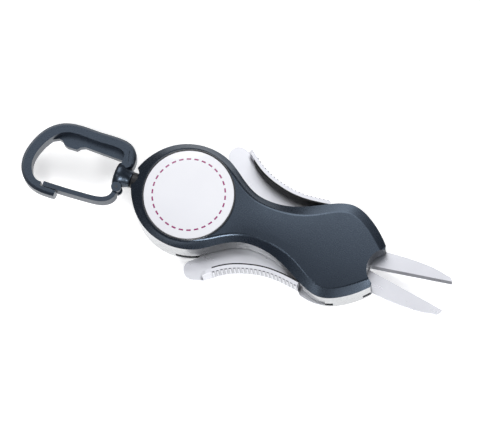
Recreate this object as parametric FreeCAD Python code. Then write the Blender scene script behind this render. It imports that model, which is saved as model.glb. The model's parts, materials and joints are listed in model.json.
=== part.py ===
import FreeCAD, Part
import math
import os

# Retractable thread snips: a hollow body with a round reel head and a flared nose, two crossed
# spring levers whose blades stick out of the nose, and a snap hook on a retracting tether.
# Millimetres. Z is up from the flat back. X runs along the body to the blade tips.
# The origin is on the reel axis, on the back face.

# ---- driving dimensions -------------------------------------------------------------------
HEAD_TOP_Z = 19.0
PART_Z_AT_REEL = 16.2
PART_SLOPE = 0.030
SKIN = 1.8
TOP_SKIN = 1.7
FLOOR = 1.8
NOSE_X = 70.5
TOP_SLOPE = 0.055
TOP_FLAT_X = 6.0
BACK_EDGE_R = 1.6
CREASE_R = 1.6

BADGE_R = 15.8
RING_R = 16.4
BADGE_SEAT_Z = 17.5
BADGE_CROWN = 0.7

PIVOT_X = 53.0
PIVOT_R = 2.0
RUN_GAP = 0.05
SHEET = 1.2
LOW_PLATE_Z = 3.3
HIGH_PLATE_Z = LOW_PLATE_Z + SHEET + 0.1
SLOT_Z = (3.1, 6.1)
SLOT_SPANS = [(1.4, 59.5), (68.3, 90.0)]
BLADE_MOUTH = 7.0
FLANGE_TOP_Z = 14.0
REST_HALF_ANGLE = 8.95
CLOSE_ANGLE = 7.2
EDGE_CROSS_X = 65.4
TIP_X = 96.2
RIB_PITCH = 1.5
RIB_R = 0.5
LINER_T = 0.5
PIVOT_SHOULDER_Z = 10.5
PIVOT_TOP_Z = 12.8
PIVOT_THREAD_R = 1.6
PIVOT_HEAD_R = 3.3
PIVOT_HEAD_Z = (0.15, 1.0)
PIVOT_POST_R = 4.0
GRIND_WIDTH = 0.9
GRIND_DEPTH = 0.75

COIL_R = 3.1
WIRE_R = 0.35
LEG_LENGTH = 14.0
LEG_SPLAY = 0.11
PEG_AT = (41.5, 6.2)
PEG_R = 0.9
PEG_TOP_Z = 10.6

REEL_DECK_Z = (6.5, 7.7)
SPINDLE_R = 2.0
DRUM_R = 14.2
DRUM_Z = (10.3, 15.0)
DRUM_FLANGE = 0.8
SPRING_CASE_R = 9.2
CORD_R = 0.4
WINDING_R = 12.9
EYELET_R = 2.0

NECK_Z = 9.5
NECK_R = 2.9
NECK_TIP_X = -19.4
BOSS_FACE_X = -22.4
STEM_R = 1.7
LOOP_X = -28.0
HOOK_T = 6.4
HOOK_Z = (NECK_Z - HOOK_T / 2, NECK_Z + HOOK_T / 2)
GATE_PIVOT = (-26.0, -4.8)
GATE_PIN_R = 0.5
GATE_TONGUE_Z = (7.5, 11.5)
LUG_R = 1.8
HOOK_BEVEL = 0.9

POSTS = [(-12.5, 11.5), (-12.5, -11.5), (27.0, 0.0), (62.5, 12.0), (62.5, -12.0)]
POST_R = 2.1
SCREW_R = 0.9
SCREW_HEAD_R = 1.7
SCREW_HEAD_Z = (0.2, 1.2)
SCREW_TOP_Z = 12.5
POST_SPLIT_Z = 9.0

# Half outline of the body at the parting line and at the upper crease, rear to nose: (x, y).
HEAD_ARC_R = 21.2
HEAD_ARC_Y = -2.4
PART_HALF = [(16.0, 12.2), (22.4, 9.0), (27.2, 8.4), (33.6, 9.1), (40.4, 11.6), (47.0, 15.0),
             (54.8, 17.4), (62.4, 14.7), (68.0, 10.4), (NOSE_X, 7.8)]
CREASE_HALF = [(14.0, 10.9), (19.0, 8.0), (24.5, 6.3), (31.0, 6.1), (38.0, 7.1), (45.5, 10.1),
               (54.2, 13.9), (60.0, 12.0), (65.0, 8.5), (69.4, 5.1)]

# Reach of a cutting block: higher than the whole tool, and to past its sides.
ABOVE = 30.0
WIDE = 40.0
Z_UP = FreeCAD.Vector(0, 0, 1)
ORIGIN = FreeCAD.Vector(0, 0, 0)


# ---- geometry helpers ---------------------------------------------------------------------
def vec(x, y, z=0.0):
    return FreeCAD.Vector(x, y, z)


def spline(points):
    curve = Part.BSplineCurve()
    curve.interpolate([vec(*p) for p in points])
    return curve.toShape()


def line(a, b):
    return Part.makeLine(vec(*a), vec(*b))


def prism(edges, z0, z1):
    face = Part.Face(Part.Wire(edges))
    face.translate(vec(0, 0, z0))
    return face.extrude(vec(0, 0, z1 - z0))


def polygon_prism(points, z0, z1):
    wire = Part.makePolygon([vec(*p) for p in points + points[:1]])
    return prism(wire.Edges, z0, z1)


def box(x0, x1, half_width, z0, z1):
    return Part.makeBox(x1 - x0, 2 * half_width, z1 - z0, vec(x0, -half_width, z0))


def side_prism(profile, half_width):
    """Extrude a closed X-Z polygon across the body's width."""
    wire = Part.makePolygon([vec(x, -half_width, z) for x, z in profile + profile[:1]])
    return Part.Face(wire).extrude(vec(0, 2 * half_width, 0))


def cylinder(r, x, y, z0, z1):
    return Part.makeCylinder(r, z1 - z0, vec(x, y, z0), Z_UP)


def x_cylinder(r, x0, x1, z=NECK_Z):
    return Part.makeCylinder(r, x1 - x0, vec(x0, 0, z), vec(1, 0, 0))


def ring(r_in, r_out, z0, z1, x=0.0, y=0.0):
    return cylinder(r_out, x, y, z0, z1).cut(cylinder(r_in, x, y, z0 - 1, z1 + 1))


def mirror_y(points):
    return [(x, -y) for x, y in points]


def flipped(shape):
    return shape.mirror(ORIGIN, vec(0, 1, 0))


def fuse_all(shape, others):
    return shape.multiFuse(others).removeSplitter()


# ---- body surfaces ------------------------------------------------------------------------
def head_arc(radius, centre_y, x_angles):
    """Points on the head's far half, an arc struck from a little past the centre line."""
    start = math.degrees(math.asin(-centre_y / radius))
    angles = [180 - start - a for a in x_angles]
    return [(radius * math.cos(math.radians(a)), centre_y + radius * math.sin(math.radians(a)))
            for a in angles]


def part_half():
    return head_arc(HEAD_ARC_R, HEAD_ARC_Y, (0, 24, 50, 83.5, 108)) + PART_HALF


def crease_half():
    return head_arc(RING_R + 0.3, 0.0, (0, 28, 58, 90, 120)) + CREASE_HALF


def inset(points, gap):
    """Move a half outline inwards by a constant gap, along its own normals."""
    full = mirror_y(points[:0:-1]) + points
    moved = []
    for i in range(len(points) - 1, len(full)):
        before = full[i - 1]
        after = full[min(i + 1, len(full) - 1)]
        dx, dy = after[0] - before[0], after[1] - before[1]
        length = math.hypot(dx, dy)
        x, y = full[i][0] + gap * dy / length, full[i][1] - gap * dx / length
        moved.append((x, y))
    last_x, last_y = points[-1]
    moved[-1] = (last_x - gap, last_y - 0.3 * gap)
    return moved


def closed_edges(half, height=lambda x, y: 0.0):
    """A spline round both sides of a half outline, and a straight edge across the nose."""
    full = mirror_y(half[:0:-1]) + half
    points = [(x, y, height(x, y)) for x, y in full]
    return [spline(points), line(points[-1], points[0])]


def part_z(x):
    return PART_Z_AT_REEL - PART_SLOPE * x


def crest_z(x):
    """Height of the top surface along the centre line: flat over the head, then falling."""
    return HEAD_TOP_Z - TOP_SLOPE * max(0.0, x - TOP_FLAT_X)


def lid_z(x):
    """A flat plane that lies just over the whole top surface."""
    return HEAD_TOP_Z + 0.9 - TOP_SLOPE * x


def crown(x):
    """How far the top surface drops for each square millimetre off the centre line."""
    blend = min(1.0, max(0.0, (x - 12.0) / 14.0))
    return (0.0028 + 0.0045 * math.exp(-((x - 28.0) / 14.0) ** 2)) * blend * blend * (3 - 2 * blend)


def under_skin(x, y):
    """Height that reaches into the top skin, for the posts that hang from it."""
    return min(crest_z(x) - crown(x) * y * y - 0.8, part_z(x) + 1.6)


def above_top(drop):
    """Everything above the crowned top surface, lowered by drop."""
    xs = [-30.0 + 6.0 * i for i in range(19)]
    ys = [-27.0 + 6.0 * i for i in range(10)]
    grid = [[vec(x, y, crest_z(x) - drop - crown(x) * y * y) for y in ys] for x in xs]
    surface = Part.BSplineSurface()
    surface.interpolate(grid)
    return surface.toShape().extrude(vec(0, 0, 20))


def above_parting():
    return side_prism([(-40, part_z(-40)), (90, part_z(90)), (90, 40), (-40, 40)], 40)


def nose_notch(z0, z1):
    """Shallow hollow across the nose, between its two corners."""
    depth, half = 2.3, 5.3
    radius = (half * half + depth * depth) / (2 * depth)
    return cylinder(radius, NOSE_X - 1.5 - depth + radius, 0, z0, z1)


def dock_notch():
    """Upright hollow in the back of the head that the hook's neck docks into."""
    return cylinder(4.0, -23.1, 0, -1, ABOVE)


# ---- housing ------------------------------------------------------------------------------
def top_blank():
    """Outside of the upper shell: bevelled from the parting line in to the crease, crowned above."""
    lower = closed_edges(part_half(), lambda x, y: part_z(x))
    upper_half = []
    for (x0, y0), (x1, y1) in zip(part_half(), crease_half()):
        crease = crest_z(x1) - crown(x1) * y1 * y1
        k = (lid_z(x1) - part_z(x0)) / (crease - part_z(x0))
        upper_half.append((x0 + (x1 - x0) * k, y0 + (y1 - y0) * k))
    upper = closed_edges(upper_half, lambda x, y: lid_z(x))
    blank = Part.makeLoft([Part.Wire(lower), Part.Wire(upper)], True, True)
    blank = blank.cut(above_top(0.0))
    return blank.makeFillet(CREASE_R, [e for e in blank.Edges if e.BoundBox.ZMax > HEAD_TOP_Z - 0.1])


def housing_top():
    room = prism(closed_edges(inset(crease_half(), 0.6)), 0, ABOVE).cut(above_top(TOP_SKIN))
    room = room.cut(cylinder(BADGE_R + 1.5, 0, 0, BADGE_SEAT_Z - 1.2, ABOVE))
    posts = [cylinder(POST_R, x, y, POST_SPLIT_Z, under_skin(x, y)) for x, y in POSTS]
    pivot_reach = under_skin(PIVOT_X, PIVOT_POST_R)
    posts.append(cylinder(PIVOT_POST_R, PIVOT_X, 0, PIVOT_SHOULDER_Z, pivot_reach))
    posts = [post.common(inner_room(SKIN + 0.02)) for post in posts]
    shell = fuse_all(top_blank().cut(room), posts + [nose_block()])
    shell = shell.cut(cylinder(RING_R, 0, 0, BADGE_SEAT_Z, ABOVE))
    for x, y in POSTS:
        shell = shell.cut(cylinder(SCREW_R, x, y, 0, SCREW_TOP_Z + 0.5))
    shell = shell.cut(cylinder(PIVOT_THREAD_R, PIVOT_X, 0, 0, PIVOT_TOP_Z + 0.4))
    return shell.cut(nose_notch(0, ABOVE)).cut(dock_notch())


def inner_room(gap):
    """Upright prism of the body's outline, drawn in by gap."""
    return prism(closed_edges(inset(part_half(), gap)), 0, ABOVE)


def nose_block():
    """Front wall of the upper shell, down to just above the blades."""
    block = box(65.5, 90, BLADE_MOUTH, SLOT_Z[1] + 0.2, 20).cut(above_top(1.0))
    return block.common(inner_room(0.3))


def base_openings():
    """Side slots for the levers, the blades' mouth in the nose, and room for the grips to close."""
    cuts = [box(x0, x1, WIDE, *SLOT_Z) for x0, x1 in SLOT_SPANS]
    cuts.append(box(65.4, 90, BLADE_MOUTH + 0.02, SLOT_Z[0], ABOVE))
    overrun = 0.9
    steps = 5
    for side in (1, -1):
        for i in range(steps + 1):
            angle = (CLOSE_ANGLE + 2 * overrun) * i / steps - overrun
            grip = grip_wall(side, -1.0, SHEET + LINER_T + 0.5, SLOT_Z[0], FLANGE_TOP_Z + 0.4)
            grip.rotate(vec(PIVOT_X, 0), Z_UP, side * angle)
            cuts.append(grip)
    return cuts


def housing_base():
    shell = prism(closed_edges(part_half()), 0, ABOVE)
    shell = shell.makeFillet(BACK_EDGE_R, [e for e in shell.Edges if e.BoundBox.ZMax < 0.1])
    room = inner_room(SKIN)
    room.translate(vec(0, 0, FLOOR))
    shell = shell.cut(room).cut(above_parting())
    posts = [cylinder(POST_R, x, y, FLOOR, POST_SPLIT_Z) for x, y in POSTS]
    pivot_seat = cylinder(4.2, PIVOT_X, 0, FLOOR, SLOT_Z[0])
    ledge = ring(14.9, HEAD_ARC_R - 3.2, FLOOR, REEL_DECK_Z[0]).common(box(-30, 0, WIDE, 0, ABOVE))
    openings = base_openings()
    shell = shell.cut(openings[:3])
    shell = fuse_all(shell, posts + [pivot_seat, ledge])
    shell = shell.cut(openings[3:])
    for x, y in POSTS:
        shell = shell.cut(cylinder(SCREW_R + 0.2, x, y, -1, ABOVE))
        shell = shell.cut(cylinder(SCREW_HEAD_R + 0.2, x, y, -1, SCREW_HEAD_Z[1]))
    shell = shell.cut(cylinder(PIVOT_R, PIVOT_X, 0, -1, PIVOT_SHOULDER_Z))
    shell = shell.cut(cylinder(PIVOT_HEAD_R + 0.2, PIVOT_X, 0, -1, PIVOT_HEAD_Z[1]))
    shell = shell.cut(x_cylinder(EYELET_R, -22, -15)).cut(x_cylinder(NECK_R + 0.3, -24, -19.2))
    return shell.cut(nose_notch(-1, ABOVE)).cut(dock_notch())


def housing_screws():
    screws = []
    for x, y in POSTS:
        head = cylinder(SCREW_HEAD_R, x, y, *SCREW_HEAD_Z)
        body = head.fuse(cylinder(SCREW_R, x, y, SCREW_HEAD_Z[1], SCREW_TOP_Z))
        reach = 0.65 * SCREW_HEAD_R
        for turn in (0, 90):
            bar = Part.makeBox(2 * reach, 0.4, 0.4, vec(x - reach, y - 0.2, SCREW_HEAD_Z[0]))
            bar.rotate(vec(x, y), Z_UP, turn)
            body = body.cut(bar)
        screws.append(body.removeSplitter())
    return Part.makeCompound(screws)


def badge_disc():
    plain = cylinder(BADGE_R, 0, 0, BADGE_SEAT_Z, HEAD_TOP_Z + 3)
    sphere_r = (BADGE_R ** 2 + BADGE_CROWN ** 2) / (2 * BADGE_CROWN)
    dome = Part.makeSphere(sphere_r, vec(0, 0, HEAD_TOP_Z + BADGE_CROWN - sphere_r))
    return plain.common(dome)


def badge_ring():
    lip = ring(BADGE_R + 0.02, RING_R, BADGE_SEAT_Z, HEAD_TOP_Z + 0.25)
    return lip.makeFillet(0.2, [e for e in lip.Edges if e.BoundBox.ZMin > HEAD_TOP_Z])


# ---- reel ---------------------------------------------------------------------------------
def reel_deck():
    deck = cylinder(HEAD_ARC_R - 4.6, 0, 0, *REEL_DECK_Z)
    for x, y in POSTS[:2]:
        deck = deck.cut(cylinder(POST_R + 0.15, x, y, 0, 20))
    deck = deck.cut(x_cylinder(3.2, -20, -15.8))
    deck = deck.fuse(cylinder(3.4, 0, 0, REEL_DECK_Z[1], 8.9))
    return deck.cut(cylinder(SPINDLE_R, 0, 0, 0, 20))


def reel_spindle():
    pin = cylinder(SPINDLE_R, 0, 0, REEL_DECK_Z[0], 15.9)
    return pin.cut(Part.makeBox(6, 0.6, 3.4, vec(-3, -0.3, 11.6)))


def spindle_clip():
    clip = ring(SPINDLE_R, 3.6, 15.45, 15.85)
    return clip.cut(Part.makeBox(6, 2.4, 2, vec(0, -1.2, 15)))


def reel_drum():
    low, high = DRUM_Z
    drum = cylinder(DRUM_R, 0, 0, low, low + DRUM_FLANGE)
    drum = drum.fuse(ring(SPRING_CASE_R, SPRING_CASE_R + 1.0, low, high))
    drum = drum.fuse(ring(SPRING_CASE_R, DRUM_R, high - DRUM_FLANGE, high))
    drum = drum.fuse(cylinder(3.2, 0, 0, 9.2, low))
    return drum.cut(cylinder(SPINDLE_R + RUN_GAP, 0, 0, 0, 20)).removeSplitter()


def spring_cover():
    return ring(3.9, SPRING_CASE_R + 1.2, DRUM_Z[1], DRUM_Z[1] + 0.4)


def power_spring():
    """Flat strip coiled from the spindle out to the drum's inner wall."""
    turns, thick, first, last = 9, 0.28, 2.9, 8.5
    steps = turns * 12
    outer, inner = [], []
    for i in range(steps + 1):
        angle = 2 * math.pi * turns * i / steps
        r = first + (last - first) * i / steps
        for side, shift in ((outer, thick / 2), (inner, -thick / 2)):
            side.append(((r + shift) * math.cos(angle), (r + shift) * math.sin(angle)))
    edges = [spline(outer), line(outer[-1], inner[-1]), spline(inner[::-1]), line(inner[0], outer[0])]
    return prism(edges, 11.6, 14.6)


def tether_winding():
    """The wound cord, taken as a solid ring between the drum's flanges."""
    low, high = DRUM_Z
    return ring(SPRING_CASE_R + 1.0, WINDING_R, low + DRUM_FLANGE, high - DRUM_FLANGE)


def cord_eyelet():
    bush = x_cylinder(EYELET_R, -19.1, -16.4).fuse(x_cylinder(EYELET_R + 1.0, -16.9, -16.3))
    return bush.cut(x_cylinder(CORD_R + 0.35, -25, -10)).removeSplitter()


# ---- levers and blades --------------------------------------------------------------------
# Outer face of the far grip, (x, y), from near the pivot to the tab; then the round tab's centre.
GRIP_LINE = [(46.4, 16.2), (41.7, 15.55), (36.8, 15.2), (32.2, 15.5), (28.4, 16.3), (24.5, 17.5),
             (20.3, 19.5), (16.5, 22.2), (14.0, 24.2)]
TAB_CENTRE = (9.3, 21.9)
TAB_R = 3.5
SHOULDER_R = 18.2


def offset_line(points, gap):
    """Shift an open line sideways by gap, towards the body for a positive gap."""
    out = []
    for i, (x, y) in enumerate(points):
        ax, ay = points[max(i - 1, 0)]
        bx, by = points[min(i + 1, len(points) - 1)]
        length = math.hypot(bx - ax, by - ay)
        out.append((x - gap * (by - ay) / length, y + gap * (bx - ax) / length))
    return out


def grip_wall(side, outer_gap, inner_gap, z0, z1):
    """Upright strip along a grip. side is 1 for the far lever and -1 for the near one."""
    outside, inside = offset_line(GRIP_LINE, outer_gap), offset_line(GRIP_LINE, inner_gap)
    edges = [spline(outside), line(outside[-1], inside[-1]), spline(inside[::-1]),
             line(inside[0], outside[0])]
    wall = prism(edges, z0, z1)
    return wall if side > 0 else flipped(wall)


def grip_liner(side, plate_z):
    """Dark strip bonded to the inner face of a grip's flange, short of its slanted tail."""
    strip = grip_wall(side, SHEET, SHEET + LINER_T, plate_z + SHEET, FLANGE_TOP_Z - 0.2)
    return strip.common(box(16.2, 90, WIDE, 0, ABOVE))


def blade_line(x):
    """Cutting edge of the blade that points to -Y, at rest."""
    return -(x - EDGE_CROSS_X) * math.tan(math.radians(REST_HALF_ANGLE))


def lever_plate():
    """Flat blank of the far lever: tab and grip at +Y, pivot eye, blade at -Y."""
    tab_x, tab_y = TAB_CENTRE
    tab_top = (tab_x + 1.2, tab_y + math.sqrt(TAB_R ** 2 - 1.44))
    tab_rear = (tab_x - TAB_R, tab_y)
    tab_low = (tab_x - 1.6, tab_y - math.sqrt(TAB_R ** 2 - 2.56))
    shoulder = [(PIVOT_X + SHOULDER_R * math.cos(math.radians(a)),
                 SHOULDER_R * math.sin(math.radians(a))) for a in (108, 93, 78)]
    tip_edge = (TIP_X - 0.3, blade_line(TIP_X - 0.3))
    edge_start = (61.5, blade_line(61.5))
    blade_back = [(93.2, -7.1), (89.6, -7.8), (83.0, -8.2), (75.5, -7.95), (66.0, -6.9),
                  (58.0, -5.2), (53.0, -4.8)]
    inner = [(53.0, -4.8), (48.8, -2.6), (45.0, 2.4), (38.0, 5.3), (28.0, 6.2), (20.0, 8.2),
             (13.0, 12.4), (10.2, 16.2), tab_low]
    edges = [
        spline(GRIP_LINE), line(GRIP_LINE[-1], tab_top),
        Part.Arc(vec(*tab_top), vec(*tab_rear), vec(*tab_low)).toShape(),
        spline(inner[::-1]), spline(blade_back[::-1]),
        Part.Arc(vec(*blade_back[0]), vec(TIP_X - 0.9, -6.35), vec(*tip_edge)).toShape(),
        line(tip_edge, edge_start), spline([edge_start, (58.6, 5.2), (57.4, 12.0), shoulder[2]]),
        Part.Arc(*[vec(*p) for p in shoulder]).toShape(), line(shoulder[0], GRIP_LINE[0]),
    ]
    return Part.Wire(Part.__sortEdges__(edges))


def lever(side, z0, bevel_on_top):
    plate = Part.Face(lever_plate()).extrude(vec(0, 0, SHEET))
    plate.translate(vec(0, 0, z0))
    plate = plate.cut(cylinder(PIVOT_R + RUN_GAP, PIVOT_X, 0, 0, 20))
    plate = plate.fuse(cylinder(PEG_R, *PEG_AT, z0, PEG_TOP_Z))
    wall = grip_wall(1, 0.0, SHEET, z0, FLANGE_TOP_Z)
    chamfer = side_prism([(12.0, 10.0), (16.0, 16.0), (10.0, 16.0), (10.0, 10.0)], 40)
    body = plate.fuse(wall.cut(chamfer))
    body = body.multiFuse(grip_ribs(z0 + SHEET)).removeSplitter()
    body = body.cut(ground_bevel(z0, bevel_on_top))
    return body if side > 0 else flipped(body)


def grip_ribs(z0):
    """Upright half-round ribs at an even pitch along the outer face of the flange."""
    curve = spline(GRIP_LINE[:-1])
    count = int(curve.Length / RIB_PITCH)
    ribs = []
    for i in range(count):
        point = curve.Curve.value(curve.getParameterByLength((i + 0.5) * curve.Length / count))
        ribs.append(cylinder(RIB_R, point.x, point.y - 0.2, z0 - 0.2, FLANGE_TOP_Z - 0.5))
    return ribs


def ground_bevel(z0, on_top):
    """Ground face along the cutting edge, on the side away from the other blade."""
    face_z = z0 + SHEET if on_top else z0
    inwards = -1 if on_top else 1
    start, end = vec(66.0, blade_line(66.0)), vec(TIP_X + 3, blade_line(TIP_X + 3))
    along = end - start
    across = vec(along.y, -along.x).normalize()
    past = -0.3
    profile = [(past, past), (GRIND_WIDTH, past), (GRIND_WIDTH, 0.0), (0.0, GRIND_DEPTH),
               (past, GRIND_DEPTH)]
    corners = [start + across * back + vec(0, 0, face_z + inwards * deep) for back, deep in profile]
    return Part.Face(Part.makePolygon(corners + corners[:1])).extrude(along)


def pivot_screw():
    head = cylinder(PIVOT_HEAD_R, PIVOT_X, 0, *PIVOT_HEAD_Z)
    shank = cylinder(PIVOT_R, PIVOT_X, 0, PIVOT_HEAD_Z[1], PIVOT_SHOULDER_Z)
    shank = shank.fuse(cylinder(PIVOT_THREAD_R, PIVOT_X, 0, PIVOT_SHOULDER_Z, PIVOT_TOP_Z))
    slot = box(PIVOT_X - 2.3, PIVOT_X + 2.3, 0.35, PIVOT_HEAD_Z[0], PIVOT_HEAD_Z[0] + 0.4)
    return head.fuse(shank).cut(slot).removeSplitter()


def pivot_washer():
    return ring(PIVOT_R, 4.2, 5.9, 6.2, PIVOT_X)


def lever_spring():
    """Torsion spring round the pivot: three and a half turns, and a leg to each lever's peg."""
    turns, pitch, low, steps = 3.5, 0.85, 6.75, 56
    path = []
    for i in range(steps + 1):
        angle = 2 * math.pi * turns * i / steps - math.pi / 2
        path.append((COIL_R * math.cos(angle), COIL_R * math.sin(angle), pitch * turns * i / steps))
    top = pitch * turns
    leg_in = [(-LEG_LENGTH * k, -COIL_R - LEG_SPLAY * LEG_LENGTH * k, 0) for k in (1, 0.66, 0.33)]
    leg_out = [(-LEG_LENGTH * k, COIL_R + LEG_SPLAY * LEG_LENGTH * k, top) for k in (0.33, 0.66, 1)]
    middle = Part.Wire(spline(leg_in + path + leg_out))
    start = vec(*leg_in[0])
    section = Part.Wire(Part.makeCircle(WIRE_R, start, vec(1, LEG_SPLAY, 0)))
    spring = middle.makePipeShell([section], True, True)
    spring.translate(vec(PIVOT_X, 0, low))
    return spring


# ---- tether and snap hook -----------------------------------------------------------------
def swivel_stem():
    neck = x_cylinder(NECK_R, BOSS_FACE_X + 0.1, NECK_TIP_X)
    neck = neck.makeFillet(0.5, neck.Edges)
    shank = x_cylinder(STEM_R, LOOP_X + 1.0, BOSS_FACE_X + 0.6)
    head = x_cylinder(2.6, LOOP_X, LOOP_X + 1.0)
    stem = fuse_all(neck, [shank, head])
    return stem.cut(x_cylinder(CORD_R, NECK_TIP_X - 1.8, 0))


def tether_lead():
    return x_cylinder(CORD_R, NECK_TIP_X - 1.8, -4.5)


# The hook's outlines, (x, y), from its swivel end round to its open nose and back.
HOOK_OUTER = [(-23.2, 3.6), (-23.3, 7.6), (-25.0, 10.3), (-27.6, 11.7), (-30.6, 12.1), (-38.0, 11.8),
              (-46.3, 11.6), (-51.8, 10.3), (-56.8, 6.4), (-60.1, -0.2), (-60.9, -5.8),
              (-59.2, -11.3), (-55.0, -14.8), (-50.0, -15.8), (-45.6, -15.6)]
HOOK_INNER = [(-51.4, -12.3), (-53.5, -12.0), (-55.6, -10.2), (-57.0, -6.8), (-56.6, -2.2),
              (-53.9, 3.6), (-50.2, 7.2), (-45.8, 8.2), (-36.0, 8.3), (-30.4, 8.5), (-28.1, 7.7),
              (-27.3, 5.6)]
HOOK_NOSE = [(-45.4, -13.6), (-51.4, -13.7)]
BAR_END = [(-27.3, -2.0), (-23.2, -2.0)]


def carabiner_frame():
    z0, z1 = HOOK_Z
    corners = [HOOK_OUTER[-1]] + HOOK_NOSE + [HOOK_INNER[0]]
    ends = [HOOK_INNER[-1]] + BAR_END + [HOOK_OUTER[0]]
    edges = [spline(HOOK_OUTER), spline(HOOK_INNER)]
    edges += [line(a, b) for a, b in zip(corners, corners[1:])]
    edges += [line(a, b) for a, b in zip(ends, ends[1:])]
    frame = Part.Face(Part.Wire(Part.__sortEdges__(edges))).extrude(vec(0, 0, HOOK_T))
    frame.translate(vec(0, 0, z0))
    frame = frame.common(bevelled_rim())
    lug = cylinder(LUG_R, *GATE_PIVOT, z0, z1)
    frame = fuse_all(frame, [swivel_boss(), hook_ledge(), lug])
    frame = frame.cut(x_cylinder(STEM_R + RUN_GAP, -40, 0))
    frame = frame.cut(x_cylinder(2.8, -40, LOOP_X + 1.1))
    for x in (-26.1, -24.6):
        groove = [(x - 0.2, 8.6), (x + 0.2, 8.6), (x + 1.2, 4.8), (x + 0.8, 4.8)]
        frame = frame.cut(polygon_prism(groove, z1 - 0.5, z1 + 1))
    gate_room = cylinder(LUG_R + 0.3, *GATE_PIVOT, *GATE_TONGUE_Z)
    bar_side = box(-40, 0, -GATE_PIVOT[1] - 1.6, 0, ABOVE)
    frame = frame.cut(gate_room.cut(bar_side))
    return frame.cut(cylinder(GATE_PIN_R, *GATE_PIVOT, z0 + 0.4, ABOVE))


def bevelled_rim():
    """Outside of the hook with its long outer edges bevelled, closed straight across the gate."""
    z0, z1 = HOOK_Z
    wires = []
    for gap, z in ((HOOK_BEVEL, z0), (0.0, z0 + HOOK_BEVEL), (0.0, z1 - HOOK_BEVEL), (HOOK_BEVEL, z1)):
        points = offset_line(HOOK_OUTER, gap)
        points = [(x, y, z) for x, y in points]
        wires.append(Part.Wire([spline(points), line(points[-1], points[0])]))
    return Part.makeLoft(wires, True, True)


def swivel_boss():
    """Bell-shaped boss turned about the neck's axis."""
    bell = [(LOOP_X - 0.3, 3.9), (LOOP_X + 0.4, 4.5), (-25.6, 4.3), (-23.8, 3.4), (BOSS_FACE_X, 3.0)]
    curve = spline([(x, 0, NECK_Z + r) for x, r in bell])
    ends = [vec(LOOP_X - 0.3, 0, NECK_Z), vec(BOSS_FACE_X, 0, NECK_Z)]
    sides = [Part.makeLine(ends[0], vec(LOOP_X - 0.3, 0, NECK_Z + 3.9)),
             Part.makeLine(vec(BOSS_FACE_X, 0, NECK_Z + 3.0), ends[1]), Part.makeLine(*ends)]
    half = Part.Face(Part.Wire(Part.__sortEdges__([curve] + sides)))
    return half.revolve(ends[0], vec(1, 0, 0), 360)


def hook_ledge():
    """Lower step along the inside of the spine, with one tooth."""
    ledge = [(-26.8, 8.6), (-26.8, 5.3), (-41.9, 5.3), (-43.4, 4.6), (-44.4, 3.4), (-47.9, 3.2),
             (-49.1, 3.6), (-50.3, 4.7), (-51.6, 5.0), (-54.6, 3.4), (-52.0, 7.4), (-48.0, 9.0)]
    return polygon_prism(ledge, HOOK_Z[0], NECK_Z)


# Middle line of the gate's arm, (x, y), from its root to its tip.
GATE_PATH = [(-26.0, -6.9), (-26.3, -8.3), (-27.6, -9.9), (-30.0, -11.0), (-35.0, -11.7), (-42.0, -12.2),
             (-50.6, -12.6)]


def carabiner_gate():
    left, right = offset_line(GATE_PATH, 0.85), offset_line(GATE_PATH, -0.85)
    edges = [spline(left), line(left[-1], right[-1]), spline(right[::-1]), line(right[0], left[0])]
    arm = prism(edges, HOOK_Z[0] + 0.2, HOOK_Z[1] - 0.2)
    low, high = GATE_TONGUE_Z[0] + 0.2, GATE_TONGUE_Z[1] - 0.2
    x, y = GATE_PIVOT
    tongue = cylinder(1.3, x, y, low, high)
    web = [(x - 1.0, y), (x + 1.0, y), (x + 0.8, y - 2.8), (x - 1.0, y - 2.8)]
    tongue = tongue.fuse(polygon_prism(web, low, high))
    gate = arm.fuse(tongue).removeSplitter()
    return gate.cut(cylinder(GATE_PIN_R + RUN_GAP, x, y, 0, 20))


def gate_pin():
    return cylinder(GATE_PIN_R, *GATE_PIVOT, HOOK_Z[0] + 0.4, HOOK_Z[1] + 0.1)


# ---- write one file for each piece --------------------------------------------------------
PIECES = {
    "housing_top": housing_top, "housing_base": housing_base, "housing_screws": housing_screws,
    "badge_disc": badge_disc, "badge_ring": badge_ring,
    "reel_deck": reel_deck, "reel_spindle": reel_spindle, "spindle_clip": spindle_clip,
    "reel_drum": reel_drum, "spring_cover": spring_cover, "power_spring": power_spring,
    "tether_winding": tether_winding, "cord_eyelet": cord_eyelet,
    "lever_far": lambda: lever(1, LOW_PLATE_Z, False),
    "lever_near": lambda: lever(-1, HIGH_PLATE_Z, True),
    "grip_liner_far": lambda: grip_liner(1, LOW_PLATE_Z),
    "grip_liner_near": lambda: grip_liner(-1, HIGH_PLATE_Z),
    "pivot_screw": pivot_screw, "pivot_washer": pivot_washer,
    "lever_spring": lever_spring,
    "swivel_stem": swivel_stem, "tether_lead": tether_lead,
    "carabiner_frame": carabiner_frame, "carabiner_gate": carabiner_gate,
    "gate_pin": gate_pin,
}

os.makedirs("parts", exist_ok=True)
for name, make in PIECES.items():
    shape = make()
    print(name, shape.isValid(), len(shape.Solids), round(shape.Volume, 1))
    shape.exportStep("parts/" + name + ".step")
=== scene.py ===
import bpy
import json
from mathutils import Matrix, Vector


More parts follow.
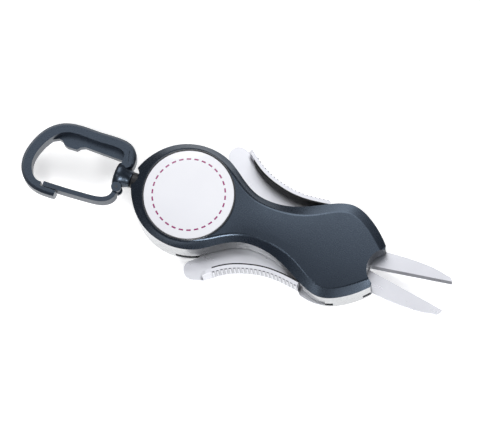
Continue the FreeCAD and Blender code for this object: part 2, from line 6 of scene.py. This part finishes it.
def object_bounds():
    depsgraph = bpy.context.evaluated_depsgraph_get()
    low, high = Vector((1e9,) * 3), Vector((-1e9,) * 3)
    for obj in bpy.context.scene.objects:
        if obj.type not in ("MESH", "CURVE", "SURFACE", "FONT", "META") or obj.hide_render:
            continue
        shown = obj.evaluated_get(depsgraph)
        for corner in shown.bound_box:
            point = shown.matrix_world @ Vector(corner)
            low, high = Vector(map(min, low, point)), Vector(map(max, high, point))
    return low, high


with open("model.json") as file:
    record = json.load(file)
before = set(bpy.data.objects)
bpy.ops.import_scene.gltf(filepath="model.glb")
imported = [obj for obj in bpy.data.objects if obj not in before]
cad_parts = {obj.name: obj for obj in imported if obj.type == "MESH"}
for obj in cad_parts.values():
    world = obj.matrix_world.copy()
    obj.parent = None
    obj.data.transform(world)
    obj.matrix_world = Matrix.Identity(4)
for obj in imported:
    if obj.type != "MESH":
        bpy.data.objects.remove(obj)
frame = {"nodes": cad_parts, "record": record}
cad_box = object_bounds()

# ---- camera: long lens, from above and to the near side, rolled a little -------------------
CAMERA_RIGHT = Vector((0.9305, 0.3612, -0.0602))
CAMERA_UP = Vector((-0.3383, 0.9109, 0.2361))
CAMERA_BACK = Vector((0.1401, -0.1993, 0.9699))
LOOK_AT = Vector((0.0186, 0.0, 0.0095))
LENS, SENSOR, VIEW_WIDTH = 400.0, 36.0, 0.168
CLIP_END = 20.0


def add_camera():
    data = bpy.data.cameras.new("camera")
    camera = bpy.data.objects.new("camera", data)
    bpy.context.scene.collection.objects.link(camera)
    data.lens = LENS
    data.sensor_width = SENSOR
    data.clip_end = CLIP_END
    distance = VIEW_WIDTH * LENS / SENSOR
    turn = Matrix((CAMERA_RIGHT, CAMERA_UP, CAMERA_BACK)).transposed()
    camera.matrix_world = Matrix.Translation(LOOK_AT + CAMERA_BACK * distance) @ turn.to_4x4()
    bpy.context.scene.camera = camera


# ---- material helpers -----------------------------------------------------------------------
EVEN = (1, 1, 1)
NOISE_LOW, NOISE_HIGH = 0.3, 0.7


class Nodes:
    """A new node material with a Principled shader, and short calls to add to it."""

    def __init__(self, name):
        self.material = bpy.data.materials.new(name)
        self.material.use_nodes = True
        self.tree = self.material.node_tree
        self.shader = self.tree.nodes["Principled BSDF"]
        self.place = self.add("ShaderNodeTexCoord").outputs["Object"]

    def add(self, kind, **settings):
        node = self.tree.nodes.new(kind)
        for key, value in settings.items():
            setattr(node, key, value)
        return node

    def link(self, source, target):
        self.tree.links.new(source, target)

    def value(self, target, source):
        if isinstance(source, (int, float)):
            target.default_value = source
        else:
            self.link(source, target)

    def math(self, operation, a, b=0.0):
        node = self.add("ShaderNodeMath", operation=operation)
        for socket, source in zip(node.inputs, (a, b)):
            self.value(socket, source)
        return node.outputs[0]

    def axes(self):
        """The piece's own x, y and z."""
        node = self.add("ShaderNodeSeparateXYZ")
        self.link(self.place, node.inputs[0])
        return node.outputs

    def scaled(self, scale):
        node = self.add("ShaderNodeMapping")
        node.inputs["Scale"].default_value = scale
        self.link(self.place, node.inputs["Vector"])
        return node.outputs["Vector"]

    def noise(self, scale, detail=3.0, stretch=EVEN):
        node = self.add("ShaderNodeTexNoise")
        node.inputs["Scale"].default_value = scale
        node.inputs["Detail"].default_value = detail
        self.link(self.scaled(stretch), node.inputs["Vector"])
        return node.outputs["Fac"]

    def spread(self, source, low, high):
        """Map the usual span of a noise onto low to high."""
        node = self.add("ShaderNodeMapRange")
        node.inputs["From Min"].default_value = NOISE_LOW
        node.inputs["From Max"].default_value = NOISE_HIGH
        node.inputs["To Min"].default_value = low
        node.inputs["To Max"].default_value = high
        self.link(source, node.inputs["Value"])
        return node.outputs["Result"]

    def mix(self, factor, a, b):
        node = self.add("ShaderNodeMix", data_type="RGBA")
        self.value(node.inputs["Factor"], factor)
        for socket, colour in ((node.inputs["A"], a), (node.inputs["B"], b)):
            if isinstance(colour, tuple):
                socket.default_value = (*colour, 1.0)
            else:
                self.link(colour, socket)
        return node.outputs["Result"]

    def bump(self, height, strength, distance):
        node = self.add("ShaderNodeBump")
        node.inputs["Strength"].default_value = strength
        node.inputs["Distance"].default_value = distance
        self.link(height, node.inputs["Height"])
        return node

    def set(self, **values):
        for key, value in values.items():
            self.shader.inputs[key.replace("_", " ")].default_value = value


GRAIN_DEPTH = 0.0002
PLASTIC_PATCHES, METAL_PATCHES = 60.0, 90.0
COAT_ROUGHNESS = 0.15
# painted shade for metal corners: how far the occlusion mask looks, and the dark grey it paints in
CREVICE_SHADE_REACH = 0.0012
CREVICE_SHADE_COLOUR = (0.10, 0.10, 0.12)
COOL = (0.62, 0.78, 1.0)


def shade(n, dark, light, rough, patch_scale, grain_scale, grain, stretch=EVEN):
    """Colour that varies in soft patches, and roughness that follows a fine surface grain."""
    patches = n.noise(patch_scale, 4.0)
    n.link(n.mix(n.spread(patches, 0.0, 1.0), dark, light), n.shader.inputs["Base Color"])
    fine = n.noise(grain_scale, 2.0, stretch)
    n.link(n.spread(fine, rough[0], rough[1]), n.shader.inputs["Roughness"])
    n.link(n.bump(fine, grain, GRAIN_DEPTH).outputs["Normal"], n.shader.inputs["Normal"])


def plastic(name, dark, light, rough, grain_scale, grain, coat=0.0, specular=0.5, tint=EVEN):
    n = Nodes(name)
    shade(n, dark, light, rough, PLASTIC_PATCHES, grain_scale, grain)
    n.set(Coat_Weight=coat, Coat_Roughness=COAT_ROUGHNESS,
          Specular_IOR_Level=specular, Specular_Tint=(*tint, 1.0))
    return n.material


def metal(name, dark, light, rough, stretch=EVEN, grain_scale=400.0, grain=0.12, crevice_shade_power=None):
    """Metal. Its close corners get painted shade, a darker base colour from an occlusion mask,
    where a falloff power is given.
    """
    n = Nodes(name)
    shade(n, dark, light, rough, METAL_PATCHES, grain_scale, grain, stretch)
    n.set(Metallic=1.0)
    if crevice_shade_power:
        colour = n.shader.inputs["Base Color"].links[0].from_socket
        # painted shade: ambient occlusion darkens the base colour in close corners and between ribs
        corner = n.add("ShaderNodeAmbientOcclusion", only_local=True, samples=16)
        corner.inputs["Distance"].default_value = CREVICE_SHADE_REACH
        painted_shade = n.mix(n.math("POWER", corner.outputs["AO"], crevice_shade_power), CREVICE_SHADE_COLOUR, colour)
        n.link(painted_shade, n.shader.inputs["Base Color"])
    return n.material


BRAID_RATE = 9000.0
BRAID_DEPTH = 0.0001


def cord_material():
    """Braid: two crossing sets of fine ribs along the cord."""
    n = Nodes("braided_cord")
    x, y, z = n.axes()
    ribs = n.math("SINE", n.math("MULTIPLY", n.math("ADD", x, y), BRAID_RATE))
    cross = n.math("SINE", n.math("MULTIPLY", n.math("SUBTRACT", x, z), BRAID_RATE))
    weave = n.math("MULTIPLY", ribs, cross)
    n.link(n.mix(weave, (0.015, 0.016, 0.018), (0.05, 0.05, 0.055)), n.shader.inputs["Base Color"])
    n.link(n.bump(weave, 0.5, BRAID_DEPTH).outputs["Normal"], n.shader.inputs["Normal"])
    n.set(Roughness=0.7, Sheen_Weight=0.3)
    return n.material


STITCHES = 30.0
STITCH_CUT = -0.25
STITCH_RING_R = 0.0128
STITCH_HALF_WIDTH = 0.00028
STITCH_PLUM = (0.30, 0.01, 0.14)


def badge_material():
    """Gloss white under a clear dome, with a plain ring of plum running stitches."""
    n = Nodes("badge_gloss")
    x, y, _ = n.axes()
    radius = n.math("SQRT", n.math("ADD", n.math("MULTIPLY", x, x), n.math("MULTIPLY", y, y)))
    angle = n.math("ARCTAN2", y, x)
    dash = n.math("GREATER_THAN", n.math("SINE", n.math("MULTIPLY", angle, STITCHES)), STITCH_CUT)
    off_ring = n.math("ABSOLUTE", n.math("SUBTRACT", radius, STITCH_RING_R))
    stitch = n.math("MULTIPLY", dash, n.math("LESS_THAN", off_ring, STITCH_HALF_WIDTH))
    paper = n.mix(n.spread(n.noise(40.0), 0.0, 1.0), (0.84, 0.85, 0.90), (0.89, 0.90, 0.94))
    n.link(n.mix(stitch, paper, STITCH_PLUM), n.shader.inputs["Base Color"])
    n.link(n.spread(n.noise(120.0), 0.16, 0.22), n.shader.inputs["Roughness"])
    n.set(Coat_Weight=1.0, Coat_Roughness=0.03)
    return n.material


# ---- materials by the record's slots, and a darker one for the gate's pin ------------------
ALONG_BLADE = (0.4, 1.6, 1.0)


def make_materials():
    return {
        "shell_black": plastic("shell_black_satin", (0.004, 0.006, 0.010), (0.007, 0.010, 0.016),
                               (0.25, 0.31), 2600.0, 0.012, specular=1.0, tint=COOL),
        "shell_silver": metal("shell_silver_plate", (0.44, 0.45, 0.46), (0.53, 0.54, 0.55),
                              (0.20, 0.28), grain_scale=900.0, grain=0.01),
        "badge_white": badge_material(),
        "ring_black": plastic("ring_gloss_black", (0.012, 0.014, 0.020), (0.020, 0.023, 0.030),
                              (0.14, 0.22), 900.0, 0.03, coat=0.6),
        "liner_black": plastic("liner_bonded_black", (0.006, 0.006, 0.007), (0.011, 0.011, 0.012),
                               (0.55, 0.70), 2400.0, 0.15, specular=0.3),
        # the blade steel gets painted shade in its close corners and between the flange ribs
        "blade_steel": metal("blade_satin_steel", (0.66, 0.67, 0.71), (0.72, 0.73, 0.77),
                             (0.27, 0.31), ALONG_BLADE, 260.0, 0.006, crevice_shade_power=3.5),
        "fastener_steel": metal("fastener_zinc", (0.42, 0.43, 0.45), (0.56, 0.57, 0.59),
                                (0.25, 0.4)),
        "spring_steel": metal("spring_blued", (0.20, 0.21, 0.24), (0.33, 0.33, 0.35),
                              (0.25, 0.4)),
        "reel_nylon": plastic("reel_nylon", (0.60, 0.58, 0.52), (0.68, 0.66, 0.60),
                              (0.30, 0.45), 1500.0, 0.05),
        "deck_plastic": plastic("deck_moulded", (0.020, 0.021, 0.023), (0.030, 0.031, 0.034),
                                (0.42, 0.55), 2200.0, 0.10),
        "cord": cord_material(),
        "eyelet_brass": metal("eyelet_brass", (0.50, 0.36, 0.14), (0.62, 0.47, 0.20),
                              (0.18, 0.3)),
        "hook_plastic": plastic("hook_fine_grain", (0.006, 0.008, 0.013), (0.011, 0.015, 0.022),
                                (0.26, 0.36), 3200.0, 0.08, specular=0.9, tint=COOL),
        "gate_plastic": plastic("gate_fine_grain", (0.012, 0.015, 0.022), (0.018, 0.023, 0.032),
                                (0.34, 0.46), 3200.0, 0.16, specular=0.8, tint=COOL),
        "stem_black": plastic("stem_acetal", (0.008, 0.009, 0.012), (0.014, 0.016, 0.020),
                              (0.42, 0.52), 1800.0, 0.03),
        "pin_dark": metal("gate_pin_blackened", (0.05, 0.055, 0.065), (0.08, 0.085, 0.095),
                          (0.4, 0.5)),
    }


def dress_frame(materials):
    slots = {s["node"]: s["material_slot"] for s in frame["record"]["subparts"]}
    slots["gate_pin"] = "pin_dark"
    for node, piece in frame["nodes"].items():
        for slot in piece.material_slots:
            slot.material = materials[slots[node]]


# ---- floor and light ------------------------------------------------------------------------
FLOOR_HALF, FLOOR_DROP = 3.0, 0.0001
FLOOR_GLOW = 0.50
SKY_STRENGTH = 1.45
SKY_CENTRE = (-0.15, 0.50, 0.85)
SKY_BLUE = 1.03
SKY_STEPS = ((0.50, 0.10), (0.78, 0.12), (0.87, 0.14), (0.94, 0.84))
LIGHT_AIM = Vector((0.02, 0.0, 0.01))
LIGHTS = (("key_window", (-0.20, 0.50, 0.60), (0.55, 0.55), 2.1),
          ("crease_strip", (-0.22, -0.32, 0.86), (0.45, 0.14), 0.9),
          ("nose_light", (0.42, -0.50, 0.54), (0.24, 0.24), 4.0))


def add_floor():
    mesh = bpy.data.meshes.new("floor")
    half, z = FLOOR_HALF, cad_box[0][2] - FLOOR_DROP
    corners = [(-half, -half, z), (half, -half, z), (half, half, z), (-half, half, z)]
    mesh.from_pydata(corners, [], [(0, 1, 2, 3)])
    floor = bpy.data.objects.new("floor", mesh)
    bpy.context.scene.collection.objects.link(floor)
    n = Nodes("floor_pale")
    n.link(n.mix(n.spread(n.noise(3.0), 0.0, 1.0), (0.90, 0.90, 0.90), (0.93, 0.93, 0.93)),
           n.shader.inputs["Base Color"])
    n.set(Roughness=0.9, Emission_Strength=FLOOR_GLOW, Emission_Color=(1.0, 1.0, 1.0, 1.0))
    mesh.materials.append(n.material)


def add_area(name, place, size, energy):
    data = bpy.data.lights.new(name, "AREA")
    data.shape = "RECTANGLE"
    data.size, data.size_y = size
    data.energy = energy
    light = bpy.data.objects.new(name, data)
    light.location = place
    light.rotation_euler = (Vector(place) - LIGHT_AIM).to_track_quat("Z", "Y").to_euler()
    bpy.context.scene.collection.objects.link(light)


def add_sky():
    """Studio surround: a bright ceiling, leaning to the far side, that falls off to a dark band."""
    world = bpy.data.worlds.new("studio")
    world.use_nodes = True
    tree = world.node_tree
    place = tree.nodes.new("ShaderNodeTexCoord")
    dot = tree.nodes.new("ShaderNodeVectorMath")
    dot.operation = "DOT_PRODUCT"
    dot.inputs[1].default_value = Vector(SKY_CENTRE).normalized()
    ramp = tree.nodes.new("ShaderNodeValToRGB")
    tree.links.new(place.outputs["Generated"], dot.inputs[0])
    tree.links.new(dot.outputs["Value"], ramp.inputs["Fac"])
    tree.links.new(ramp.outputs["Color"], tree.nodes["Background"].inputs["Color"])
    tree.nodes["Background"].inputs["Strength"].default_value = SKY_STRENGTH
    first, last = ramp.color_ramp.elements
    first.position, first.color = 0.0, (0.10, 0.10, 0.11, 1.0)
    last.position, last.color = 0.985, (0.90, 0.90, 0.90, 1.0)
    for height, level in SKY_STEPS:
        ramp.color_ramp.elements.new(height).color = (level, level, level * SKY_BLUE, 1.0)
    bpy.context.scene.world = world


add_camera()
dress_frame(make_materials())
add_floor()
add_sky()
bpy.context.scene.view_settings.view_transform = "Standard"
for light in LIGHTS:
    add_area(*light)
